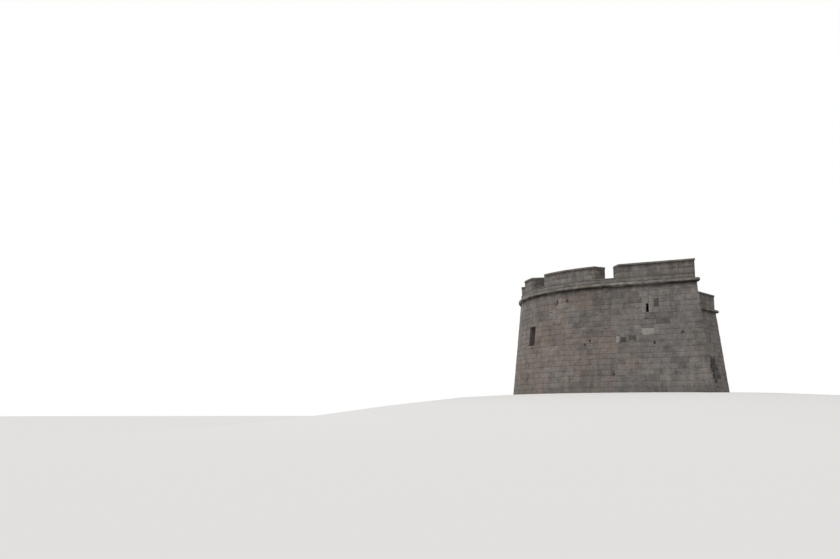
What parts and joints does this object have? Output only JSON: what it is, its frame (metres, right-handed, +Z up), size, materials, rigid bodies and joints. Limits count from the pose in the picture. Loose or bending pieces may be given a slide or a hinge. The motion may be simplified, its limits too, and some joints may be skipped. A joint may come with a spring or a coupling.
{
  "type": "horseshoe-plan coastal gun tower",
  "caption": "Low battered stone gun tower on a horseshoe plan, with pointed horns, a round cordon and a parapet with splayed embrasures.",
  "frame": {"origin": "centre of the round front's arc at ground level, on the underside of the ground floor", "axes": "+Z up, +Y towards the sea along the axis of symmetry, +X across the tower; the horns and the door are at -Y"},
  "size_m": [22.836, 17.573, 9.8],
  "materials": {
    "floor_stone": "worn paving",
    "round_masonry": "weathered coursed stone",
    "flank_masonry": "weathered coursed stone with lichen",
    "dressed_stone": "pale dressed stone",
    "door_wood": "weathered oak planks",
    "cordon_stone": "weathered moulded stone",
    "parapet_masonry": "weathered coursed stone, grey with lichen",
    "coping_stone": "weathered coping slabs"
  },
  "bodies": {
    "root": {"ground_floor": "floor_stone", "upper_floor": "floor_stone", "terrace_floor": "floor_stone", "front_wall": "round_masonry", "left_shoulder_wall": "round_masonry", "right_shoulder_wall": "round_masonry", "left_window_wall": "round_masonry", "right_window_wall": "round_masonry", "left_side_wall": "round_masonry", "right_side_wall": "round_masonry", "left_flank_wall": "flank_masonry", "right_flank_wall": "flank_masonry", "left_horn": "flank_masonry", "right_horn": "flank_masonry", "left_gorge_wall": "flank_masonry", "right_gorge_wall": "flank_masonry", "left_gate_wall": "flank_masonry", "right_gate_wall": "flank_masonry", "gate_foot_wall": "flank_masonry", "gate_head_wall": "flank_masonry", "door_sill": "dressed_stone", "door_jambs": "dressed_stone", "door_arch": "dressed_stone", "window_sills": "dressed_stone", "window_lintels": "dressed_stone", "loophole_jambs": "dressed_stone", "gate_door": "door_wood", "round_cordon": "cordon_stone", "flank_cordons": "cordon_stone", "gorge_cordons": "cordon_stone", "gate_cordon": "cordon_stone", "breast_wall": "parapet_masonry", "embrasure_soles": "parapet_masonry", "front_merlon": "parapet_masonry", "left_shoulder_merlon": "parapet_masonry", "right_shoulder_merlon": "parapet_masonry", "left_side_merlon": "parapet_masonry", "right_side_merlon": "parapet_masonry", "left_flank_parapet": "parapet_masonry", "right_flank_parapet": "parapet_masonry", "gorge_parapet": "parapet_masonry", "merlon_copings": "coping_stone", "flank_copings": "coping_stone", "gorge_coping": "coping_stone"}
  },
  "joints": []
}
